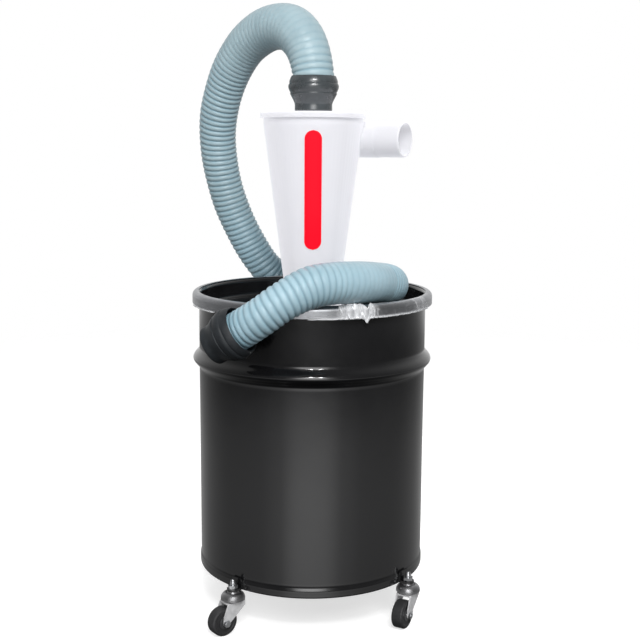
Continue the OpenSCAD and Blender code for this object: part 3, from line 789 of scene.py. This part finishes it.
def ragged(deg, seed):
    """An uneven edge, from 0 to about 1."""
    broad = noise.noise(Vector((deg * 0.35, seed, 0)))
    fine = noise.noise(Vector((deg * 1.4, seed, 5)))
    return 0.5 + 0.5 * broad + 0.3 * fine


def between(deg, start, end):
    """1 between two angles, falling softly to 0 outside them."""
    return 1 / ((1 + math.exp(start - deg)) * (1 + math.exp(deg - end)))


def flaps(material):
    """Film outside the band: a wide crumpled flap at the front and a ragged edge at the left."""
    def front_cover(deg):
        shrunk = min(1, max(0.25, (-24 - deg) / 3))
        return (3 + 15 * between(2 * deg, -158, 60) * shrunk + 5 * ragged(deg, 1.0)) * MM

    def front_drop(deg):
        spike = math.exp(-(((deg + 65.5) / 1.1) ** 2))
        return (0.6 + 1.2 * ragged(deg, 2.0) + 6.5 * spike) * MM

    def front_crumple(deg):
        bunched = 1.3 * between(deg, -78, -62)
        right = 0.28 * between(deg, -36, -23)
        return max(bunched, right) * min(1, 0.3 + ragged(1.6 * deg, 6.0))

    def left_cover(deg):
        return (1.5 + 1.5 * ragged(deg, 4.0)) * MM

    def left_drop(deg):
        return (1 + 2.4 * ragged(deg, 3.0)) * MM

    flap("film_flap_front", -92, -21, front_cover, front_drop, front_crumple, material)
    flap("film_flap_left", -166, -140, left_cover, left_drop, lambda deg: 0.3, material)


# ---------- finishes on CAD nodes ----------


def chamfer(*names, width=0.35 * MM):
    """Takes the hard edges off CAD nodes."""
    for name in names:
        edge = nodes[name].modifiers.new("edge", "BEVEL")
        edge.width = width
        edge.segments = 2
        edge.limit_method = "ANGLE"
        edge.angle_limit = math.radians(35)


def finish_hardware():
    """Finishes on the bolts, the latch, the castors, the seals and the band, and their edges broken."""
    corners = ("front_left", "front_right", "back_right", "back_left")
    bright = zinc("zinc")
    plate = zinc("fork_zinc", (0.66, 0.66, 0.67), 0.42, 0.6, 0.4)
    paint_cad(bright, "flange_bolts", "flange_washers", "flange_nuts", "castor_stems", "castor_nuts",
              "castor_balls", "lever_pin", "link_pin", "clamp_lever", "lever_link",
              "lever_bracket", "catch_bracket", *(f"axle_{c}" for c in corners))
    paint_cad(plate, *(f"fork_{c}" for c in corners))
    paint_cad(zinc("race_steel", (0.42, 0.42, 0.43), 0.3, 0.5), "castor_heads")
    paint_cad(rubber("tyre_rubber", (0.016, 0.016, 0.017)), *(f"tyre_{c}" for c in corners))
    paint_cad(rubber("hub_plastic", (0.03, 0.03, 0.032), 0.3, 0.45, 500), *(f"hub_{c}" for c in corners))
    paint_cad(rubber("seal_rubber", (0.012, 0.012, 0.012)), "lid_gasket", "flange_gasket")
    paint_cad(band_steel("band_steel"), "closing_band")
    chamfer("clamp_lever", "lever_bracket", "catch_bracket", "lever_link", "castor_lugs", "castor_nuts",
            "flange_bolts", "flange_nuts", "closing_band", *(f"fork_{c}" for c in corners))
    chamfer("cyclone_cap", width=1 * MM)


# ---------- camera, light and floor ----------


def aim_camera():
    """A camera a little above the rim and nearly front on, as for a product picture."""
    pitch, yaw, roll = (math.radians(a) for a in (9.158, 0.4165, 0.4))
    back, above_rim = 1.571, 0.2073
    ahead = Vector((math.sin(yaw) * math.cos(pitch), math.cos(yaw) * math.cos(pitch), -math.sin(pitch)))
    right = Vector((math.cos(yaw), -math.sin(yaw), 0))
    up = right.cross(ahead)
    camera = bpy.data.objects.new("camera", bpy.data.cameras.new("camera"))
    camera.data.lens = 60.9
    tilted_right = right * math.cos(roll) + up * math.sin(roll)
    tilted_up = up * math.cos(roll) - right * math.sin(roll)
    turned = Matrix((tilted_right, tilted_up, -ahead)).transposed().to_4x4()
    camera.matrix_world = Matrix.Translation((0, -back, rim_z + above_rim)) @ turned
    bpy.context.scene.collection.objects.link(camera)
    bpy.context.scene.camera = camera


class Sky:
    """Nodes for light that depends on where a ray goes."""

    def __init__(self, tree):
        self.tree = tree
        self.add = tree.nodes.new
        self.join = tree.links.new
        direction = self.add("ShaderNodeTexCoord").outputs["Generated"]
        flat = self.add("ShaderNodeVectorMath")
        flat.operation = "MULTIPLY"
        flat.inputs[1].default_value = (1, 1, 0)
        self.join(direction, flat.inputs[0])
        heading = self.add("ShaderNodeVectorMath")
        heading.operation = "NORMALIZE"
        self.join(flat.outputs[0], heading.inputs[0])
        self.level = self.split(heading.outputs[0], "Y")
        self.height = self.split(direction, "Z")

    def split(self, vector, axis):
        """One part of a direction, from -1 to 1, moved to 0 to 1."""
        node = self.add("ShaderNodeSeparateXYZ")
        self.join(vector, node.inputs[0])
        unit = self.add("ShaderNodeMapRange")
        unit.inputs["From Min"].default_value = -1
        self.join(node.outputs[axis], unit.inputs["Value"])
        return unit.outputs[0]

    def ramp(self, source, stops):
        """Levels at stops, each stop from -1 to 1."""
        node = self.add("ShaderNodeValToRGB")
        points = node.color_ramp.elements
        while len(points) < len(stops):
            points.new(0.5)
        for point, (at, level) in zip(points, stops):
            point.position = (at + 1) / 2
            point.color = (level, level, level, 1)
        self.join(source, node.inputs["Fac"])
        return node.outputs["Color"]

    def around(self, *stops):
        """Levels by angle from the camera's side: 0 is towards the camera, 180 behind the object."""
        return self.ramp(self.level, [(-math.cos(math.radians(a)), level) for a, level in stops])

    def rising(self, *stops):
        """Levels by the ray's angle above the horizon."""
        return self.ramp(self.height, [(math.sin(math.radians(a)), level) for a, level in stops])

    def maths(self, operation, a, b):
        node = self.add("ShaderNodeVectorMath")
        node.operation = operation
        self.join(a, node.inputs[0])
        self.join(b, node.inputs[1])
        return node.outputs[0]


def light_world():
    """A dim studio: a lit floor and a soft panel at the front, paler walls behind; white to the camera."""
    world = bpy.data.worlds.new("studio")
    bpy.context.scene.world = world
    world.use_nodes = True
    world.node_tree.nodes.clear()
    sky = Sky(world.node_tree)
    walls = sky.maths(
        "MULTIPLY",
        sky.around((0, 0.08), (60, 0.08), (100, 0.17), (130, 0.3), (155, 0.45), (180, 0.5)),
        sky.rising((-90, 0.2), (-40, 0.35), (-16, 0.6), (-10, 0.5), (-8.6, 1.3), (-6, 1.6), (60, 1.6),
                   (90, 1.8)),
    )
    pool = sky.maths(
        "MULTIPLY",
        sky.around((0, 1.4), (15, 1.3), (30, 0.7), (50, 0.45), (90, 0.25), (120, 0.15), (180, 0.05)),
        sky.rising((-50, 0), (-34, 0.2), (-25, 0.7), (-18, 1), (-15.5, 0.85), (-13.5, 0.35), (-12, 0)),
    )
    front = sky.maths(
        "MULTIPLY",
        sky.around((0, 4.2), (10, 3.4), (18, 0.5), (26, 0)),
        sky.rising((-5, 0), (0, 1), (32, 1), (38, 0)),
    )
    total = sky.maths("ADD", sky.maths("ADD", walls, pool), front)
    studio, plain = sky.add("ShaderNodeBackground"), sky.add("ShaderNodeBackground")
    sky.join(total, studio.inputs["Color"])
    plain.inputs["Color"].default_value = (1, 1, 1, 1)
    both = sky.add("ShaderNodeMixShader")
    sky.join(sky.add("ShaderNodeLightPath").outputs["Is Camera Ray"], both.inputs[0])
    sky.join(studio.outputs[0], both.inputs[1])
    sky.join(plain.outputs[0], both.inputs[2])
    sky.join(both.outputs[0], sky.add("ShaderNodeOutputWorld").inputs["Surface"])


def panel(name, place, target, width, height, power, mirrored=False):
    """A soft rectangular lamp, seen in glossy surfaces only where mirrored."""
    lamp = bpy.data.lights.new(name, "AREA")
    lamp.shape = "RECTANGLE"
    lamp.size, lamp.size_y = width, height
    lamp.energy = power
    holder = bpy.data.objects.new(name, lamp)
    holder.location = place
    holder.rotation_euler = (Vector(target) - Vector(place)).to_track_quat("-Z", "Y").to_euler()
    holder.visible_glossy = mirrored
    bpy.context.scene.collection.objects.link(holder)


def floor():
    """A round pale floor that fades out before its edge."""
    radius, fade_from, sides = 2.6, 0.7, 96
    f = Finish("floor_paper", (0.5, 0.5, 0.5), 0.9)
    f.set("Emission Color", (1, 1, 1, 1))
    f.set("Emission Strength", 0.62)
    far = f.add("ShaderNodeVectorMath", operation="LENGTH")
    f.join(f.place, far.inputs[0])
    fade = f.spread(far.outputs["Value"], 0, 1, fade_from, radius * 0.95)
    clear = f.add("ShaderNodeBsdfTransparent")
    surface = f.mix_shaders(fade, f.shader.outputs[0], clear.outputs[0])
    f.join(surface, f.output.inputs["Surface"])
    mesh = bpy.data.meshes.new("floor")
    turns = [2 * math.pi * i / sides for i in range(sides)]
    rim = [(radius * math.cos(t), radius * math.sin(t), 0) for t in turns]
    mesh.from_pydata(rim, [], [range(sides)])
    mesh.materials.append(f.material)
    piece = bpy.data.objects.new("floor", mesh)
    piece.location.z = floor_z
    piece.visible_glossy = False
    piece.visible_diffuse = False
    bpy.context.scene.collection.objects.link(piece)


def light_panels():
    """Soft lamps round the object, and two small ones that show as glints on the rolling hoop."""
    chest, middle, front_hoop = (0, 0, 0.55), (0, 0, 0.5), (0, -0.17, 0.3)
    panel("key", (0.4, -2.0, 2.1), (0, 0, 0.4), 1.5, 1.5, 70)
    panel("left", (-1.9, -0.5, 0.9), chest, 1.2, 1.2, 16)
    panel("right", (1.9, -0.5, 0.9), chest, 1.2, 1.2, 6)
    panel("rear", (0.3, 1.6, 1.6), middle, 1.2, 1.2, 18)
    panel("glint_left", (-0.03, -1.9, 1.9), front_hoop, 0.08, 0.1, 9, True)
    panel("glint_right", (0.3, -1.9, 1.85), front_hoop, 0.1, 0.1, 8, True)


# ---------- build ----------

hose()
cuffs()
drum()
white = frosted("frosted_plastic")
cyclone(white)
paint_cad(white, "cyclone_cap")
stripe()
clear_film = film("film")
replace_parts(liner(clear_film), "liner_bag")
flaps(clear_film)
paint_cad(enamel("lid_enamel"), "lid", "drum_base", "castor_lugs")
finish_hardware()

aim_camera()
light_world()
light_panels()
floor()
bpy.context.scene.view_settings.view_transform = "Standard"
